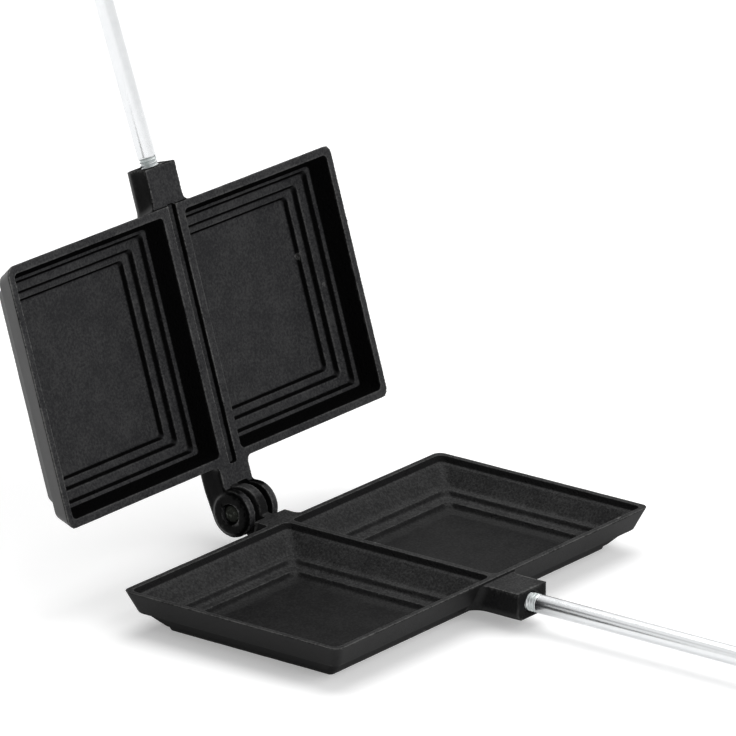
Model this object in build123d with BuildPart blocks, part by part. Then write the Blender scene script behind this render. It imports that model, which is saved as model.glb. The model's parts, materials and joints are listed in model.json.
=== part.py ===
from build123d import *
import os
from math import cos, radians, sin

# Double pie iron: two cast iron pans on one hinge, each screwed to a plated rod with a wooden grip.
# Millimetres. X runs along the hinge pin, -Y points to the grips and +Z is up. The origin is the
# middle of the flat foot that the lower pan stands on. At rest the iron is open: the upper pan leans
# back against the stop on its hinge.

# Pan casting, with the same sloping band under the rim of both halves and a flat foot under the
# lower one. A wall is a list of steps from the rim down into the iron, and each step is the
# (inset, drop) of one face.
pan_length = 220.0
pan_width = 114.0
rim_corner = 4.5
corner_draft = 0.15
rim_band = (4.2, 10.0)
lower_outside = [rim_band, (2.8, 1.0), (5.6, 5.6), (0.9, 0.2), (0.7, 1.9)]
upper_outside = [rim_band, (3.8, 2.4), (3.0, 5.6), (4.5, 0.7), (2.0, 3.4)]
floor_thickness = 3.1
rim_gap = 0.3

# Lower cavities: a lip below the rim, then terraces down to a flat floor.
lower_land = 3.0
divider_width = 3.0
lower_corner = 3.0
lower_steps = [(1.2, 2.8), (1.1, 0.3), (7.5, 6.6), (2.3, 0.3), (2.1, 2.3), (3.8, 0.4), (1.9, 2.1)]
lower_floor_inset = 3.9

# Upper cavities, and the wide land between them, which has a groove between two ridges.
upper_land = 4.0
ridge_width = 5.0
groove_width = 4.7
groove_depth = 2.6
upper_corner = 2.0
upper_steps = [(3.4, 9.3), (1.2, 0.3), (1.6, 2.8), (3.4, 0.4), (1.6, 2.8), (2.4, 0.4), (1.4, 2.6)]
upper_floor_inset = 2.5

# Lugs, the blocks that stand out of a pan's wall: how far they are rooted in it.
reach_in = 12.0
flare_sink = 0.5

# Rod socket in the middle of the grip side, with its flat face a little below the rim. Its drop,
# its depth and the rod's depth are measured from the rim.
socket_length = 17.5
socket_width = 20.0
socket_drop = 1.2
socket_depth = 14.0
socket_flare = 4.5
socket_edge = 4.0
rod_depth = 7.2
thread_engagement = 17.0
bore_lead = 0.8

# Hinge: two ears on the upper pan, one tongue on the lower pan, and a pin with spread ends.
hinge_reach = 20.6
hinge_width = 21.0
knuckle_radius = 10.5
neck_depth = 12.0
neck_flare = 3.0
neck_edge = 2.0
ear_thickness = 4.6
ear_root = 1.5
boss_radius = 8.8
boss_height = 0.6
tongue_thickness = 5.6
tongue_root = 0.8
throat_gap = 1.1
pin_radius = 3.175
pin_clearance = 0.06
pin_head_radius = 3.9
pin_head_thickness = 1.0
pin_recess_radius = 4.5
pin_recess_depth = 2.0
pin_seat = 0.1

# Stop: a nose on the tongue that meets the throat of the fork when the iron is open.
open_angle = 107.0
stop_gap = 0.1
stop_near = 3.0
stop_far = 7.0

# Rod, threaded at the pan. The upper rod leans away from the lower one.
rod_radius = 3.97
rod_clearance = 0.05
rod_end_gap = 0.4
rod_chamfer = 0.6
thread_pitch = 1.41
thread_depth = 0.8
thread_turns = 15
bare_rod = 421.0
upper_lean = 2.5

# Grip, with its ferrule and cross pin.
grip_length = 127.0
grip_radius = 11.2
grip_shoulder = 10.3
grip_butt = 10.4
grip_round = 5.0
rod_in_grip = 92.0
ferrule_radius = 9.6
ferrule_wall = 0.8
ferrule_length = 14.0
ferrule_bead = 0.6
ferrule_bead_length = 1.8
wood_fit = 0.05
cross_pin_radius = 1.6
cross_pin_place = 7.0
cross_pin_proud = 0.5
cross_pin_clearance = 0.04

lower_depth = sum(drop for inset, drop in lower_outside)
upper_depth = sum(drop for inset, drop in upper_outside)
hinge_y = pan_width / 2 + hinge_reach
hinge_point = Vector(0, hinge_y, lower_depth + rim_gap / 2)
swing = radians(open_angle)
fork_throat = knuckle_radius + throat_gap
tongue_throat = knuckle_radius + ear_root + throat_gap

os.makedirs("parts", exist_ok=True)


def save(piece, name):
    piece.part.label = name
    export_step(piece.part, f"parts/{name}.step")


# Frame of one half: x along the hinge, y to its grip, z down into its iron, origin in its rim.
def rim_frame(to_grip, into_iron):
    origin = hinge_point + to_grip * hinge_y + into_iron * (rim_gap / 2)
    return Plane(origin, x_dir=to_grip.cross(into_iron), z_dir=into_iron)


def moved(frame, x):
    return Plane(frame.from_local_coords((x, 0, 0)), x_dir=frame.x_dir, z_dir=frame.z_dir)


def turned(frame):
    return Plane(frame.origin, x_dir=-frame.x_dir, z_dir=frame.z_dir)


# Side view of a half's hinge from the pin's axis: x away from the grip, y down into the iron.
def hinge_view(frame):
    axis_point = frame.from_local_coords((0, -hinge_y, -rim_gap / 2))
    return Plane(axis_point, x_dir=-frame.y_dir, z_dir=-frame.x_dir)


# Line of a rod from the mouth of its socket: z along the rod, x along the hinge.
def rod_line(frame, lean):
    mouth = frame.from_local_coords((0, pan_width / 2 + socket_length, rod_depth))
    along = frame.y_dir * cos(radians(lean)) + frame.z_dir * sin(radians(lean))
    return Plane(mouth, x_dir=frame.x_dir, z_dir=along)


# Plane through a rod's axis for turned profiles: x is the radius, y the distance from the mouth.
def turning(line):
    return Plane(line.origin, x_dir=line.x_dir, z_dir=-line.y_dir)


def rings(frame, length, width, corner, draft, steps, mode):
    """Add or cut a block whose four walls go down the steps."""
    inset = 0.0
    depth = 0.0
    outlines = []
    for step_in, step_down in [(0, 0)] + steps:
        inset += step_in
        depth += step_down
        with BuildSketch(frame.offset(depth)) as outline:
            RectangleRounded(length - 2 * inset, width - 2 * inset, corner - draft * inset)
        outlines.append(outline.sketch)
    loft(outlines, ruled=True, mode=mode)


def cavities(frame, pan_depth, land, between, corner, steps, floor_inset):
    """Cut the two terraced cavities of a half, as far down as the floor."""
    length = (pan_length - between) / 2 - land
    last_drop = pan_depth - floor_thickness - sum(drop for inset, drop in steps)
    for side in (-1, 1):
        middle = moved(frame, side * (between + length) / 2)
        down = steps + [(floor_inset, last_drop)]
        rings(middle, length, pan_width - 2 * land, corner, 0, down, Mode.SUBTRACT)


def lug(frame, width, reach, top, depth, flare, edge):
    """Block that stands out of the wall at +y, with flared roots that follow the wall's slope."""
    band_inset, band_drop = rim_band
    half = width / 2
    end = pan_width / 2 + reach
    inner = pan_width / 2 - reach_in
    bow = flare * (1 - sin(radians(45)))
    with BuildPart() as block:
        for level in (top, depth):
            wall = pan_width / 2 - flare_sink - level * band_inset / band_drop
            with BuildSketch(frame.offset(level)):
                with BuildLine():
                    Polyline((0, inner), (half + flare, inner), (half + flare, wall))
                    ThreePointArc((half + flare, wall), (half + bow, wall + bow), (half, wall + flare))
                    Polyline((half, wall + flare), (half, end), (0, end))
                    mirror(about=Plane.YZ)
                make_face()
        loft(ruled=True)
        bottom = block.faces().sort_by(Axis(frame.origin, frame.z_dir))[-1]
        sides = [e for e in bottom.edges().filter_by(Axis(frame.origin, frame.y_dir))
                 if abs(frame.to_local_coords(e @ 0.5).X) < half + flare / 2]
        fillet(sides, edge)
    return block.part


def knuckle(view, place, thickness, throat, root):
    """Round hinge end on its neck, with a hollow root between the disc and the flat face."""
    with BuildPart() as disc:
        with BuildSketch(view.offset(place)) as side:
            Circle(knuckle_radius)
            with BuildLine():
                Polyline((-hinge_reach, rim_gap / 2), (0, rim_gap / 2), (0, knuckle_radius),
                         (-throat, neck_depth), (-hinge_reach, neck_depth), close=True)
            make_face()
            fillet(side.vertices().sort_by_distance((-knuckle_radius, rim_gap / 2))[0], root)
        extrude(amount=thickness / 2, both=True)
    return disc.part


lower_frame = rim_frame(Vector(0, -1, 0), Vector(0, 0, -1))
upper_frame = rim_frame(Vector(0, -cos(swing), sin(swing)), Vector(0, sin(swing), cos(swing)))
halves = {
    "lower": (lower_frame, rod_line(lower_frame, 0), lower_outside),
    "upper": (upper_frame, rod_line(upper_frame, upper_lean), upper_outside),
}

# Castings with their sockets, before the cavities and the hinges.
blanks = {}
for half, (frame, line, steps) in halves.items():
    socket = lug(frame, socket_width, socket_length, socket_drop, socket_depth, socket_flare,
                 socket_edge)
    with BuildPart() as blank:
        rings(frame, pan_length, pan_width, rim_corner, corner_draft, steps, Mode.ADD)
        add(socket)
        with BuildSketch(line.offset(bore_lead)):
            Circle(rod_radius + rod_clearance)
        extrude(amount=-thread_engagement - bore_lead, mode=Mode.SUBTRACT)
        with BuildSketch(line.offset(bore_lead)):
            Circle(rod_radius + rod_clearance + 2 * bore_lead)
        extrude(amount=-2 * bore_lead, taper=45, mode=Mode.SUBTRACT)
    blanks[half] = blank.part

# Lower pan, with a single tongue and the stop.
view = hinge_view(lower_frame)
neck = lug(turned(lower_frame), hinge_width, hinge_reach - tongue_throat, 0, neck_depth,
           neck_flare, neck_edge)
tongue = knuckle(view, 0, tongue_thickness, tongue_throat, tongue_root)
stop_reach = fork_throat - stop_gap
with BuildPart() as lower_pan:
    add(blanks["lower"])
    add(neck)
    add(tongue)
    with BuildSketch(view):
        Polygon(
            (0, 0),
            (-stop_reach * cos(swing) + stop_near * sin(swing),
             -stop_reach * sin(swing) - stop_near * cos(swing)),
            (-stop_reach * cos(swing) + stop_far * sin(swing),
             -stop_reach * sin(swing) - stop_far * cos(swing)),
            (knuckle_radius * sin(swing), -knuckle_radius * cos(swing)),
        )
    extrude(amount=tongue_thickness / 2, both=True)
    with BuildSketch(view):
        Circle(pin_radius + pin_clearance)
    extrude(amount=tongue_thickness, both=True, mode=Mode.SUBTRACT)
    cavities(lower_frame, lower_depth, lower_land, divider_width, lower_corner, lower_steps,
             lower_floor_inset)
save(lower_pan, "lower_pan")

# Upper pan, with the fork and the grooved land.
view = hinge_view(upper_frame)
neck = lug(turned(upper_frame), hinge_width - 2 * boss_height, hinge_reach - fork_throat, 0,
           neck_depth, neck_flare, neck_edge)
ear_web = ear_thickness - boss_height
ear_place = hinge_width / 2 - boss_height - ear_web / 2
ears = [knuckle(view, side * ear_place, ear_web, fork_throat, ear_root) for side in (-1, 1)]
with BuildPart() as upper_pan:
    add(blanks["upper"])
    add(neck)
    add(ears)
    for side in (-1, 1):
        with BuildSketch(view.offset(side * hinge_width / 2)):
            Circle(boss_radius)
        extrude(amount=-side * ear_thickness)
        with BuildSketch(view.offset(side * hinge_width / 2)):
            Circle(pin_recess_radius)
        extrude(amount=-side * pin_recess_depth, mode=Mode.SUBTRACT)
    with BuildSketch(view):
        Circle(pin_radius + pin_clearance)
    extrude(amount=hinge_width, both=True, mode=Mode.SUBTRACT)
    with BuildSketch(upper_frame):
        Rectangle(groove_width, pan_width)
    extrude(amount=groove_depth, mode=Mode.SUBTRACT)
    between = 2 * ridge_width + groove_width
    cavities(upper_frame, upper_depth, upper_land, between, upper_corner, upper_steps,
             upper_floor_inset)
save(upper_pan, "upper_pan")

# Hinge pin, its two ends spread in the recesses of the ears.
head_place = hinge_width / 2 - pin_recess_depth + pin_seat
with BuildPart() as hinge_pin:
    with BuildSketch(hinge_view(lower_frame)):
        Circle(pin_radius)
    extrude(amount=head_place, both=True)
    for side in (-1, 1):
        with BuildSketch(hinge_view(lower_frame).offset(side * head_place)):
            Circle(pin_head_radius)
        extrude(amount=side * pin_head_thickness)
save(hinge_pin, "hinge_pin")


def make_rod(line, name):
    start = rod_end_gap - thread_engagement
    far_end = bare_rod + rod_in_grip
    valley = rod_radius - thread_depth
    thread = []
    for turn in range(thread_turns):
        thread.append((rod_radius, start + (turn + 0.5) * thread_pitch))
        thread.append((valley, start + (turn + 1) * thread_pitch))
    thread_end = start + thread_turns * thread_pitch + thread_depth
    with BuildPart() as rod:
        with BuildSketch(turning(line)):
            with BuildLine():
                Polyline((0, start), (valley, start), *thread, (rod_radius, thread_end),
                         (rod_radius, far_end - rod_chamfer), (rod_radius - rod_chamfer, far_end),
                         (0, far_end), close=True)
            make_face()
        revolve(axis=Axis(line.origin, line.z_dir))
        cross_bore(line)
    save(rod, name)


def cross_bore(line):
    """Cut the hole of the cross pin through what is built so far."""
    with BuildSketch(cross_plane(line)) as hole:
        Circle(cross_pin_radius + cross_pin_clearance)
    extrude(hole.sketch, amount=2 * ferrule_radius, both=True, mode=Mode.SUBTRACT)


def cross_plane(line):
    place = line.from_local_coords((0, 0, bare_rod + cross_pin_place))
    return Plane(place, x_dir=line.y_dir, z_dir=line.x_dir)


def make_ferrule(line, name):
    with BuildPart() as ferrule:
        with BuildSketch(turning(line)):
            with BuildLine():
                inside = ferrule_radius - ferrule_wall
                back = bare_rod + ferrule_length
                Polyline((rod_radius + rod_clearance, bare_rod), (ferrule_radius, bare_rod),
                         (ferrule_radius, back - ferrule_bead_length),
                         (ferrule_radius + ferrule_bead, back - ferrule_bead_length),
                         (ferrule_radius + ferrule_bead, back), (inside, back),
                         (inside, bare_rod + ferrule_wall),
                         (rod_radius + rod_clearance, bare_rod + ferrule_wall), close=True)
            make_face()
        revolve(axis=Axis(line.origin, line.z_dir))
        cross_bore(line)
    save(ferrule, name)


def make_grip(line, name):
    neck_radius = ferrule_radius - ferrule_wall - wood_fit
    front = bare_rod + ferrule_wall + wood_fit
    shoulder = bare_rod + ferrule_length + wood_fit
    back = bare_rod + grip_length
    with BuildPart() as grip:
        with BuildSketch(turning(line)):
            with BuildLine():
                Polyline((grip_butt, back), (0, back), (0, front), (neck_radius, front),
                         (neck_radius, shoulder), (grip_shoulder, shoulder))
                ThreePointArc((grip_shoulder, shoulder), (grip_radius, (shoulder + back) / 2),
                              (grip_butt, back))
            make_face()
        revolve(axis=Axis(line.origin, line.z_dir))
        butt = grip.faces().sort_by(Axis(line.origin, line.z_dir))[-1]
        fillet(butt.edges(), grip_round)
        with BuildSketch(line.offset(front)):
            Circle(rod_radius + rod_clearance)
        extrude(amount=bare_rod + rod_in_grip + rod_end_gap - front, mode=Mode.SUBTRACT)
        cross_bore(line)
    save(grip, name)


def make_grip_pin(line, name):
    with BuildPart() as grip_pin:
        with BuildSketch(cross_plane(line)):
            Circle(cross_pin_radius)
        extrude(amount=ferrule_radius + cross_pin_proud, both=True)
        fillet(grip_pin.edges().filter_by(GeomType.CIRCLE), cross_pin_proud)
    save(grip_pin, name)


for half, (frame, line, steps) in halves.items():
    make_rod(line, f"{half}_rod")
    make_ferrule(line, f"{half}_ferrule")
    make_grip(line, f"{half}_grip")
    make_grip_pin(line, f"{half}_grip_pin")
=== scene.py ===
import json
from math import cos, pi, radians, sin

import bmesh
import bpy
import numpy as np
from mathutils import Matrix, Vector


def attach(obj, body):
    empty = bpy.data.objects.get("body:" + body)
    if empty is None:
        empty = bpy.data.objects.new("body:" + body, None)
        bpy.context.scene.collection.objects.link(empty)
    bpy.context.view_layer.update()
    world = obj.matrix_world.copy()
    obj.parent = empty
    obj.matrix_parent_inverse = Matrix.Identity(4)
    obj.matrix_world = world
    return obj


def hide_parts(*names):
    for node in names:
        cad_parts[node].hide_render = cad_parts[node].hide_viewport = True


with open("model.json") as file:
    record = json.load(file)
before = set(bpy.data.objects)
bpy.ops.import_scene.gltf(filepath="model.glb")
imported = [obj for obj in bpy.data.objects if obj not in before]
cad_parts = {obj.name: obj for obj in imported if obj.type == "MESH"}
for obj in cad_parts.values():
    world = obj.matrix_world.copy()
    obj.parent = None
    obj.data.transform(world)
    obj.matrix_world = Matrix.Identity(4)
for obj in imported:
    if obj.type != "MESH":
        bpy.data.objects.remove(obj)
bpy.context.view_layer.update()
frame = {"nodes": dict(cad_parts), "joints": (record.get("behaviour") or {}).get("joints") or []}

# Pans. Two grey iron castings from green sand moulds, joined by the hinge pin, with soft corners
# and a pebbled skin. The iron is oiled and baked black. Its treads get painted light, and the
# steep walls between them and the lower floors get painted shade. The outside keeps its gloss.
open_angle = radians(107.0)
out_of_rim = {"lower": (0.0, 0.0, 1.0), "upper": (0.0, -sin(open_angle), -cos(open_angle))}
weld_distance = 1e-7
mould_grid = 0.0005
corner_passes = 2
corner_softness = 0.5
swell_size = 0.011
swell_height = 0.00014
sand_size = 0.0011
sand_height = 0.00004
most_triangles = 190_000
grain_size = 0.0005
pebble_size = 3.2 * sand_size
pit_size = 0.0034
pit_wall = (0.05, 0.24)
relief = 0.00085
# Facing thresholds above which a surface gets the painted light of a tread, per half.
lit_tread_from = {"lower": (0.64, 0.78), "upper": (0.52, 0.80)}
outside_from = (-0.30, 0.10)
flank_from = (-0.85, -0.45)
edge_from = (0.505, 0.56)
dry_from = (0.52, 0.98)
# Grey edges, partly wear and partly a painted highlight, less on the steep walls.
worn_and_highlit_from = (0.66, 1.15)
wall_wear_and_highlight = 0.35
# Below these heights the floors get a painted shadow, to this share.
floor_shade_level = (0.0034, 0.0060)
floor_shade_share = 0.55
gloss = {"lower": 0.30, "upper": 0.80}
level_gloss = 0.25
# The first is painted shade for the steep walls inside the pans, much darker in the upper half.
shade_black = {"lower": (0.0135, 0.0135, 0.0138, 1), "upper": (0.0030, 0.0030, 0.0031, 1)}
glossy_black = (0.0110, 0.0110, 0.0113, 1)
# Painted light: the lighter tones of the treads, oiled or dry at random, per half.
lit_oiled_black = {"lower": (0.0190, 0.0190, 0.0194, 1), "upper": (0.0190, 0.0190, 0.0206, 1)}
lit_dry_black = {"lower": (0.0470, 0.0470, 0.0473, 1), "upper": (0.0430, 0.0430, 0.0438, 1)}
# Edge grey: partly wear, partly a painted highlight.
worn_and_highlight_grey = (0.150, 0.150, 0.147, 1)


class Wire:
    """A number on its way through a node tree, so that shader maths is plain Python."""

    def __init__(self, tree, socket):
        self.tree = tree
        self.socket = socket

    def math(self, operation, first, second):
        return self.tree.node("ShaderNodeMath", {"operation": operation}, {0: first, 1: second})

    def __add__(self, other):
        return self.math("ADD", self, other)

    def __sub__(self, other):
        return self.math("SUBTRACT", self, other)

    def __rsub__(self, other):
        return self.math("SUBTRACT", other, self)

    def __mul__(self, other):
        return self.math("MULTIPLY", self, other)

    __radd__ = __add__
    __rmul__ = __mul__


class Tree:
    """A node tree. node() adds any shader node and hands back one of its outputs."""

    def __init__(self, owner):
        owner.use_nodes = True
        self.nodes = owner.node_tree.nodes
        self.links = owner.node_tree.links

    def put(self, socket, value):
        if isinstance(value, Wire):
            self.links.new(value.socket, socket)
        else:
            socket.default_value = value

    def node(self, kind, settings, sockets, output=0):
        made = self.nodes.new(kind)
        for setting, value in settings.items():
            setattr(made, setting, value)
        for socket, value in sockets.items():
            self.put(made.inputs[socket], value)
        return Wire(self, made.outputs[output])

    def attribute(self, name, output):
        return self.node("ShaderNodeAttribute", {"attribute_name": name}, {}, output)

    def stretched(self, place, scale):
        return self.node("ShaderNodeMapping", {}, {"Vector": place, "Scale": scale})

    def noise(self, place, size, detail, roughness=0.5):
        sockets = {"Vector": place, "Scale": 1 / size, "Detail": detail, "Roughness": roughness}
        return self.node("ShaderNodeTexNoise", {}, sockets)

    def step(self, value, low, high):
        """0 where the value is under low, 1 where it is over high, and smooth between them."""
        return self.node("ShaderNodeMapRange", {"interpolation_type": "SMOOTHSTEP"},
                         {"Value": value, "From Min": low, "From Max": high})

    def blend(self, mask, first, second):
        """Mix two colours. They are inputs 6 and 7 of a Mix node, and the result is output 2."""
        return self.node("ShaderNodeMix", {"data_type": "RGBA"}, {0: mask, 6: first, 7: second}, 2)

    def seen(self):
        """1 for what the camera sees, by itself or in a mirror or through glass, else 0."""
        plain = self.node("ShaderNodeLightPath", {}, {}, "Is Camera Ray")
        mirror = self.node("ShaderNodeLightPath", {}, {}, "Is Glossy Ray")
        return plain + mirror + self.node("ShaderNodeLightPath", {}, {}, "Is Transmission Ray")


class Finish(Tree):
    """One material. Its constants are set straight on the surface's sockets."""

    def __init__(self, name, slot, **constants):
        self.slot = slot
        self.material = bpy.data.materials.new(name)
        super().__init__(self.material)
        self.surface = self.nodes["Principled BSDF"]
        self.paint(**constants)

    def paint(self, **sockets):
        for socket, value in sockets.items():
            self.put(self.surface.inputs[socket.replace("_", " ")], value)

    def bump(self, height, depth):
        self.paint(Normal=self.node("ShaderNodeBump", {}, {"Height": height, "Distance": depth}))


def seasoned_iron(half):
    iron = Finish(f"seasoned_iron_{half}", "iron", Specular_IOR_Level=0.0, Coat_Roughness=0.38)
    place = iron.node("ShaderNodeTexCoord", {}, {}, "Object")
    grain = iron.noise(place, grain_size, detail=2.0)
    sand = iron.noise(place, sand_size, detail=3.0, roughness=0.6)
    blotch = iron.noise(place, swell_size, detail=4.0, roughness=0.6)
    cells = iron.node("ShaderNodeTexVoronoi", {}, {"Vector": place, "Scale": 1 / pit_size})
    pit = 1 - iron.step(cells, *pit_wall)
    facing = iron.attribute("facing", "Fac")
    # Surfaces facing out of the rim are painted lighter, a painted light; the steep walls get
    # painted shade.
    lit_tread = iron.step(facing, *lit_tread_from[half])
    outside = 1 - iron.step(facing, *outside_from)
    flank = iron.step(facing, *flank_from)
    edge = iron.step(iron.node("ShaderNodeNewGeometry", {}, {}, "Pointiness"), *edge_from)
    dry = iron.step(0.45 * blotch + sand, *dry_from)
    lit_tread_colour = iron.blend(dry, lit_oiled_black[half], lit_dry_black[half])
    height = iron.node("ShaderNodeSeparateXYZ", {}, {"Vector": place}, "Z")
    # The lower pan's floors are painted darker below a height: a painted shadow.
    floor_shade = 1 - iron.step(height, *floor_shade_level)
    lit_tread_colour = iron.blend(floor_shade_share * floor_shade, lit_tread_colour, shade_black["upper"])
    # Grey on random edges, more on treads: partly wear, partly a painted highlight.
    worn_and_highlit = edge * (wall_wear_and_highlight + (1 - wall_wear_and_highlight) * lit_tread) * iron.step(sand + blotch, *worn_and_highlit_from)
    # The steep walls inside take the painted shade colour, the outside takes the glossy black.
    shade_or_outside = iron.blend(outside, shade_black[half], glossy_black)
    coated = gloss[half] * outside * (level_gloss + (1 - level_gloss) * flank)
    iron.paint(
        Base_Color=iron.blend(worn_and_highlit, iron.blend(lit_tread, shade_or_outside, lit_tread_colour), worn_and_highlight_grey),
        Roughness=0.46 + 0.16 * blotch + 0.10 * lit_tread - 0.10 * worn_and_highlit,
        Coat_Weight=coated + 0.12 * lit_tread,
    )
    pebbles = iron.noise(place, pebble_size, detail=2.0)
    iron.bump(sand + 0.5 * grain + 0.8 * pebbles - 0.5 * pit, relief)
    return iron


def show(name, mesh, body, finish, node):
    """Make a mesh a piece of the iron: it rides on its body and stands for its solid."""
    for face in mesh.polygons:
        face.use_smooth = True
    mesh.materials.append(finish.material)
    piece = bpy.data.objects.new(name, mesh)
    bpy.context.scene.collection.objects.link(piece)
    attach(piece, body)
    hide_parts(node)


def sand_cast(node, name):
    """Soften a pan's solid as a sand mould does, and give it the mould's uneven skin."""
    mesh = frame["nodes"][node].data.copy()
    mesh.materials.clear()
    weld = bmesh.new()
    weld.from_mesh(mesh)
    bmesh.ops.remove_doubles(weld, verts=weld.verts, dist=weld_distance)
    weld.to_mesh(mesh)
    weld.free()
    rough = bpy.data.objects.new(name + "_rough", mesh)
    bpy.context.scene.collection.objects.link(rough)
    mould = rough.modifiers.new("mould", "REMESH")
    mould.mode = "VOXEL"
    mould.voxel_size = mould_grid
    corners = rough.modifiers.new("corners", "SMOOTH")
    corners.factor = corner_softness
    corners.iterations = corner_passes
    for layer, size, height in (("swell", swell_size, swell_height),
                                ("sand", sand_size, sand_height)):
        clouds = bpy.data.textures.new(f"{name}_{layer}", "CLOUDS")
        clouds.noise_scale = size
        uneven = rough.modifiers.new(layer, "DISPLACE")
        uneven.texture = clouds
        uneven.texture_coords = "LOCAL"
        uneven.mid_level = 1.0
        uneven.strength = height
    bpy.context.view_layer.update()
    dense = rough.evaluated_get(bpy.context.evaluated_depsgraph_get())
    fewer = rough.modifiers.new("fewer", "DECIMATE")
    fewer.ratio = min(1.0, most_triangles / (2 * len(dense.data.polygons)))
    made = rough.evaluated_get(bpy.context.evaluated_depsgraph_get())
    skin = bpy.data.meshes.new_from_object(made)
    skin.name = name
    bpy.data.objects.remove(rough)
    return skin


for half, out in out_of_rim.items():
    skin = sand_cast(f"{half}_pan", f"{half}_casting")
    facing = np.array([corner.normal for corner in skin.vertices]) @ np.array(out)
    skin.attributes.new("facing", "FLOAT", "POINT").data.foreach_set("value", facing)
    show(f"{half}_casting", skin, half, seasoned_iron(half), f"{half}_pan")

# Rods. Plain round steel bars with a bright zinc plate. Each has a cut thread that is screwed into
# the socket of its pan, and a few turns of it show outside the iron.
thread_pitch = 0.00141
thread_turns = 15
thread_depth = 0.0008
thread_fade = 1.2
thread_sharpness = 1.3
thread_length = thread_turns * thread_pitch
points_per_turn = 12
bar_chamfer = 0.0006
round_sides = 72
streak_size = 0.0005
streak_stretch = (1.0, 1.0, 0.02)
cloud_size = 0.006
die_mark_size = 0.0030
die_mark_stretch = (1.0, 1.0, 0.004)
die_marked_from = (0.56, 0.66)
dull_from = (0.30, 0.55)
plate_relief = 0.00002
dull_zinc = (0.50, 0.535, 0.53, 1)
die_mark = (0.30, 0.31, 0.32, 1)
grey_zinc = (0.69, 0.705, 0.715, 1)
clear_zinc = (0.82, 0.83, 0.84, 1)


class Line:
    """The axis of a turned piece, read from its solid: from the hinge's side outwards."""

    def __init__(self, node, along=None):
        points = np.array([corner.co for corner in frame["nodes"][node].data.vertices])
        middle = points.mean(0)
        if along is None:
            along = np.linalg.svd(points - middle, full_matrices=False)[2][0]
        self.along = along
        if np.dot(self.along, middle - np.array(frame["joints"][0]["pos_m"])) < 0:
            self.along = -self.along
        reach = (points - middle) @ self.along
        self.start = middle + self.along * reach.min()
        self.length = reach.max() - reach.min()
        self.radius = np.linalg.norm(points - middle - np.outer(reach, self.along), axis=1).max()
        # Rounded, so that of two world axes that are equally far off the first is always taken.
        world_axis = np.eye(3)[np.argmin(np.abs(self.along).round(3))]
        self.up = np.cross(self.along, world_axis)
        self.up /= np.linalg.norm(self.up)
        self.right = np.cross(self.up, self.along)


def turned(name, line, profile, radius_at=None):
    """Lathe work: rings of the profile's (radius, distance) points round a line."""
    made = bmesh.new()
    layer = made.verts.layers.float_vector.new("turned_place")
    rings = []
    for radius, distance in profile:
        ring = []
        for side in range(round_sides if radius > 0 else 1):
            angle = 2 * pi * side / round_sides
            out = radius_at(radius, distance, side / round_sides) if radius_at else radius
            across = line.right * (out * cos(angle)) + line.up * (out * sin(angle))
            corner = made.verts.new(line.start + across + line.along * distance)
            corner[layer] = (out * cos(angle), out * sin(angle), distance)
            ring.append(corner)
        rings.append(ring)
    for near, far in zip(rings, rings[1:]):
        for side in range(round_sides):
            after = (side + 1) % round_sides
            corners = [near[side % len(near)], near[after % len(near)],
                       far[after % len(far)], far[side % len(far)]]
            made.faces.new(dict.fromkeys(corners))
    bmesh.ops.recalc_face_normals(made, faces=made.faces)
    mesh = bpy.data.meshes.new(name)
    made.to_mesh(mesh)
    made.free()
    return mesh


def bright_zinc():
    zinc = Finish("bright_zinc", "plated_steel", Metallic=1.0)
    place = zinc.attribute("turned_place", "Vector")
    streak = zinc.noise(zinc.stretched(place, streak_stretch), streak_size, detail=3.0,
                        roughness=0.6)
    cloud = zinc.noise(place, cloud_size, detail=4.0, roughness=0.6)
    along = zinc.node("ShaderNodeSeparateXYZ", {}, {"Vector": place}, "Z")
    cut = 1 - zinc.step(along, thread_length - thread_pitch, thread_length)
    marks = zinc.noise(zinc.stretched(place, die_mark_stretch), die_mark_size, detail=1.0)
    plate = zinc.blend(0.8 * zinc.step(marks, *die_marked_from),
                       zinc.blend(cloud, grey_zinc, clear_zinc), die_mark)
    zinc.paint(
        Base_Color=zinc.blend(cut * zinc.step(cloud, *dull_from), plate, dull_zinc),
        Roughness=0.13 + 0.14 * cloud + 0.08 * streak + 0.10 * cut,
    )
    zinc.bump(streak + 0.4 * cloud, plate_relief)
    return zinc


def thread(radius, distance, turn):
    phase = (distance / thread_pitch - turn) % 1.0
    crest = abs(2 * phase - 1) ** thread_sharpness
    fade = min(1.0, max(0.0, (thread_length - distance) / (thread_fade * thread_pitch)))
    return radius - thread_depth * (1 - crest) * fade


zinc = bright_zinc()
rods = {half: Line(f"{half}_rod") for half in out_of_rim}
for half, rod in rods.items():
    steps = points_per_turn * thread_turns
    profile = [(0.0, 0.0), (rod.radius - thread_depth, 0.0)]
    profile += [(rod.radius, thread_length * step / steps) for step in range(1, steps + 1)]
    profile += [(rod.radius, rod.length - bar_chamfer), (rod.radius - bar_chamfer, rod.length),
                (0.0, rod.length)]
    bar = turned(f"{half}_bar", rod, profile, thread)
    show(f"{half}_bar", bar, half, zinc, f"{half}_rod")

# Ferrules. Each is a drawn steel cup with a rolled bead at its open end, plated like the rod that
# goes through its floor. It keeps the front of the wooden grip from splitting.
sheet = 0.0008
nose_radius = 0.0012
nose_facets = 6
bead_radius = 0.0009
bead_rise = 0.0006
bead_foot = pi / 5
bead_facets = 9
rod_hole_gap = 0.00005


def rounding(radius, facets):
    """The points of a quarter round, from its flat end: how far in, and how far along."""
    return [(radius * (1 - sin(turn)), radius * (1 - cos(turn)))
            for turn in np.linspace(0, pi / 2, facets + 1)]


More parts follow.
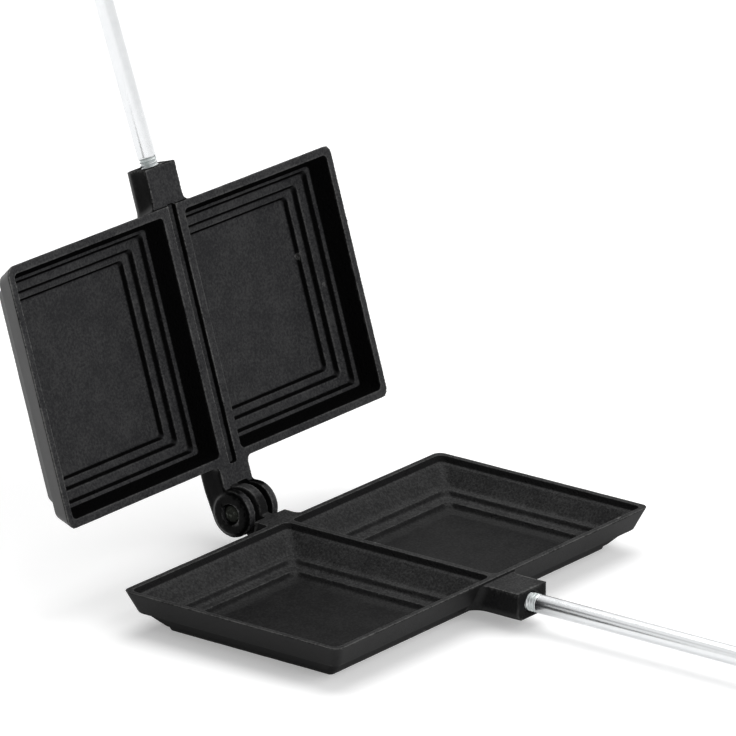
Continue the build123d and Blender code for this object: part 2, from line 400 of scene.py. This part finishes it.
for half, rod in rods.items():
    cup = Line(f"{half}_ferrule", rod.along)
    hole = rod.radius + rod_hole_gap
    wall = cup.radius - bead_rise
    profile = [(hole, sheet), (hole, 0.0)]
    profile += [(wall - inwards, along) for inwards, along in rounding(nose_radius, nose_facets)]
    profile += [(cup.radius - bead_radius * (1 - sin(turn)),
                 cup.length - bead_radius * (1 + cos(turn)))
                for turn in np.linspace(bead_foot, pi, bead_facets + 1)]
    profile += [(wall - sheet, cup.length), (wall - sheet, sheet), (hole, sheet)]
    show(f"{half}_cup", turned(f"{half}_cup", cup, profile), half, zinc, f"{half}_ferrule")

# Grips. Turned hardwood handles with a clear lacquer, a slow swell in the middle and a rounded
# butt. The rod goes into a bore, and the slimmer front fits inside the ferrule.
neck_radius = 0.00875
neck_length = 0.0132
shoulder_radius = 0.0103
shoulder_round = 0.0006
shoulder_facets = 4
side_start = 0.03
side_rings = 40
butt_radius = 0.0104
butt_round = 0.005
butt_facets = 13
bore_radius = 0.00402
bore_length = 0.09155
ring_spacing = 0.0021
ring_waver = 0.0030
waver_size = 0.009
pith = (0.019, 0.004, 0.0)
log_stretch = (1.0, 1.0, 0.05)
late_from = (0.25, 0.98)
fibre_size = 0.00035
fibre_stretch = (1.0, 1.0, 0.025)
pore_size = 0.0005
pore_stretch = (1.0, 1.0, 0.06)
pores_from = (0.62, 0.74)
wood_relief = 0.00004
pale_wood = (0.56, 0.355, 0.190, 1)
late_wood = (0.37, 0.205, 0.095, 1)
deep_grain = (0.24, 0.120, 0.052, 1)


def lacquered_wood():
    wood = Finish("lacquered_wood", "wood", Coat_Weight=0.45, Coat_Roughness=0.16)
    place = wood.attribute("turned_place", "Vector")
    log = wood.node("ShaderNodeVectorMath", {"operation": "ADD"},
                    {0: wood.stretched(place, log_stretch), 1: pith}, "Vector")
    from_pith = wood.node("ShaderNodeVectorMath", {"operation": "LENGTH"}, {0: log}, "Value")
    waver = wood.noise(log, waver_size, detail=2.0)
    rings = (from_pith + ring_waver * waver) * (1 / ring_spacing)
    season = wood.node("ShaderNodeMath", {"operation": "FRACT"}, {0: rings})
    fibre = wood.noise(wood.stretched(place, fibre_stretch), fibre_size, detail=3.0,
                       roughness=0.6)
    vessels = wood.noise(wood.stretched(place, pore_stretch), pore_size, detail=1.0)
    pores = wood.step(vessels, *pores_from)
    ringed = wood.blend(wood.step(season, *late_from), pale_wood, late_wood)
    wood.paint(
        Base_Color=wood.blend(0.35 * fibre + 0.45 * pores * season, ringed, deep_grain),
        Roughness=0.34 + 0.14 * fibre,
    )
    wood.bump(0.6 * fibre - 0.7 * pores, wood_relief)
    return wood


def side_radius(share, middle_rise):
    """The grip's radius at a share of the way from its shoulder to its butt."""
    straight = shoulder_radius + (butt_radius - shoulder_radius) * share
    return straight + 4 * middle_rise * share * (1 - share)


wood = lacquered_wood()
for half in out_of_rim:
    grip = Line(f"{half}_grip")
    side_length = grip.length - neck_length
    middle_rise = grip.radius - (shoulder_radius + butt_radius) / 2
    last = 1 - butt_round / side_length
    profile = [(0.0, bore_length), (bore_radius, bore_length), (bore_radius, 0.0),
               (neck_radius, 0.0), (neck_radius, neck_length)]
    profile += [(shoulder_radius - inwards, neck_length + along)
                for inwards, along in rounding(shoulder_round, shoulder_facets)]
    profile += [(side_radius(share, middle_rise), neck_length + share * side_length)
                for share in np.linspace(side_start, last, side_rings)]
    profile += [(side_radius(last, middle_rise) - inwards, grip.length - along)
                for inwards, along in reversed(rounding(butt_round, butt_facets)[:-1])]
    profile += [(0.0, grip.length)]
    handle = turned(f"{half}_handle", grip, profile)
    show(f"{half}_handle", handle, half, wood, f"{half}_grip")

# Grip pins. Short lengths of drawn steel wire, driven across each ferrule through the wood and the
# rod, with domed ends that stand a little proud of the cup.
dome = 0.0005
dome_facets = 6
wire_scuff_size = 0.0012
stain_size = 0.0030
stained_from = (0.40, 0.60)
wire_relief = 0.00006
drawn_steel = (0.36, 0.36, 0.35, 1)
stained_steel = (0.13, 0.125, 0.115, 1)


def worn_steel():
    steel = Finish("worn_steel", "pin_steel", Metallic=1.0)
    place = steel.attribute("turned_place", "Vector")
    scuff = steel.noise(place, wire_scuff_size, detail=4.0, roughness=0.65)
    stain = steel.step(steel.noise(place, stain_size, detail=3.0), *stained_from)
    steel.paint(
        Base_Color=steel.blend(stain * scuff, drawn_steel, stained_steel),
        Roughness=0.30 + 0.25 * scuff,
    )
    steel.bump(scuff, wire_relief)
    return steel


steel = worn_steel()
for half in out_of_rim:
    wire = Line(f"{half}_grip_pin")
    near = [(wire.radius - inwards, along) for inwards, along in rounding(dome, dome_facets)]
    profile = [(0.0, 0.0)] + near
    profile += [(radius, wire.length - distance) for radius, distance in reversed(near)]
    profile += [(0.0, wire.length)]
    cross_pin = turned(f"{half}_cross_pin", wire, profile)
    show(f"{half}_cross_pin", cross_pin, half, steel, f"{half}_grip_pin")

# Hinge pin. A length of steel bar through both ears and the tongue. Its two ends are hammered out
# in the recesses of the ears, which leaves them dished and a little out of round. Soot and oil
# have gone over it with the iron.
head_length = 0.0010
head_fillet = 0.0003
shank_radius = 0.003175
hammer_flats = 3
flattening = 0.03
pin_scuff_size = 0.0016
scuffed_from = (0.50, 0.72)
smudge_size = 0.0007
soot_relief = 0.00010
soot_black = (0.012, 0.013, 0.011, 1)
bare_steel = (0.11, 0.12, 0.105, 1)
hinge_pin = Line("hinge_pin")
hammered = [
    (0.0, 0.00042), (0.0008, 0.00030), (0.0014, 0.00008), (0.0020, 0.0), (0.0028, 0.00005),
    (0.0034, 0.00020), (0.0038, 0.00045), (hinge_pin.radius, 0.00070),
    (hinge_pin.radius, 0.00090), (0.0037, head_length),
    (shank_radius, head_length + head_fillet),
]


def sooty_steel():
    soot = Finish("sooty_steel", "pin_steel", Metallic=1.0)
    place = soot.attribute("turned_place", "Vector")
    scuff = soot.step(soot.noise(place, pin_scuff_size, detail=4.0, roughness=0.65),
                      *scuffed_from)
    smudge = soot.noise(place, smudge_size, detail=3.0)
    soot.paint(
        Base_Color=soot.blend(scuff * smudge, soot_black, bare_steel),
        Roughness=0.55 - 0.20 * scuff,
    )
    soot.bump(smudge, soot_relief)
    return soot


def out_of_round(radius, distance, turn):
    blows = 0.5 + 0.5 * sin(2 * pi * hammer_flats * turn)
    return radius * (1 - flattening * blows * min(1.0, radius / shank_radius))


profile = hammered + [(radius, hinge_pin.length - distance)
                      for radius, distance in reversed(hammered)]
pin_mesh = turned("hinge_bolt", hinge_pin, profile, out_of_round)
show("hinge_bolt", pin_mesh, "lower", sooty_steel(), "hinge_pin")

# Studio. The iron stands on a wide sheet of white paper, which keeps the soft shadow close round
# the lower pan, and white surrounds it on all sides.
paper_size = 40.0
paper_glow = 0.30
paper_white = (0.90, 0.90, 0.90, 1)
white = (1.0, 1.0, 1.0, 1)
black = (0.0, 0.0, 0.0, 1)
surround = 0.28
paper = Finish("white_paper", None, Base_Color=paper_white, Roughness=1.0,
               Specular_IOR_Level=0.0, Emission_Strength=paper_glow)
paper.paint(Emission_Color=paper.blend(paper.seen(), black, white))
bpy.ops.mesh.primitive_plane_add(size=paper_size)
floor = bpy.context.object
floor.name = "studio_floor"
floor.data.materials.append(paper.material)

world = bpy.data.worlds.new("studio")
bpy.context.scene.world = world
sky = Tree(world)
strength = sky.node("ShaderNodeMapRange", {},
                    {"Value": sky.seen(), "To Min": surround, "To Max": 1.0})
sky.put(sky.nodes["Background"].inputs["Strength"], strength)
sky.put(sky.nodes["Background"].inputs["Color"], white)

# Lamps. The main soft light hangs above the iron, behind it and to its right, so the shadow falls
# to the front. A wide fill stands in front and doesn't show in the iron or the rods.
lamps = {  # the way to the lamp, its strength, its spread in degrees, whether it is reflected
    "overhead": ((0.38, 0.30, 1.0), 1.80, 56, True),
    "fill": ((0.02, -0.95, 0.20), 2.75, 90, False),
}
for name, (towards, energy, spread, reflected) in lamps.items():
    lamp = bpy.data.lights.new(name, "SUN")
    lamp.energy = energy
    lamp.angle = radians(spread)
    holder = bpy.data.objects.new(name, lamp)
    holder.visible_glossy = reflected
    holder.rotation_euler = Vector(towards).to_track_quat("Z", "Y").to_euler()
    bpy.context.scene.collection.objects.link(holder)

# Camera. A long lens looks down at the lower pan's rim from the front left. Its place was fitted
# to where the corners of the two pans and the hinge lie in the photograph.
azimuth = radians(-52.7)
elevation = radians(18.95)
roll = radians(0.24)
distance = 3.3746
centre_right = -0.00918
centre_up = 0.07562
rim_height = 0.0187
film_width = 36
focal_pixels = 8000
photo_pixels = 736
back = Vector((sin(azimuth) * cos(elevation), -cos(azimuth) * cos(elevation), sin(elevation)))
level = Vector((cos(azimuth), sin(azimuth), 0))
upright = back.cross(level)
right = cos(roll) * level + sin(roll) * upright
up = cos(roll) * upright - sin(roll) * level
camera = bpy.data.cameras.new("camera")
camera.sensor_width = film_width
camera.lens = film_width * focal_pixels / photo_pixels
viewer = bpy.data.objects.new("camera", camera)
place = back * distance + right * centre_right + up * centre_up + Vector((0, 0, rim_height))
viewer.matrix_world = Matrix.Translation(place) @ Matrix((right, up, back)).transposed().to_4x4()
bpy.context.scene.collection.objects.link(viewer)
bpy.context.scene.camera = viewer
bpy.context.scene.view_settings.view_transform = "Standard"
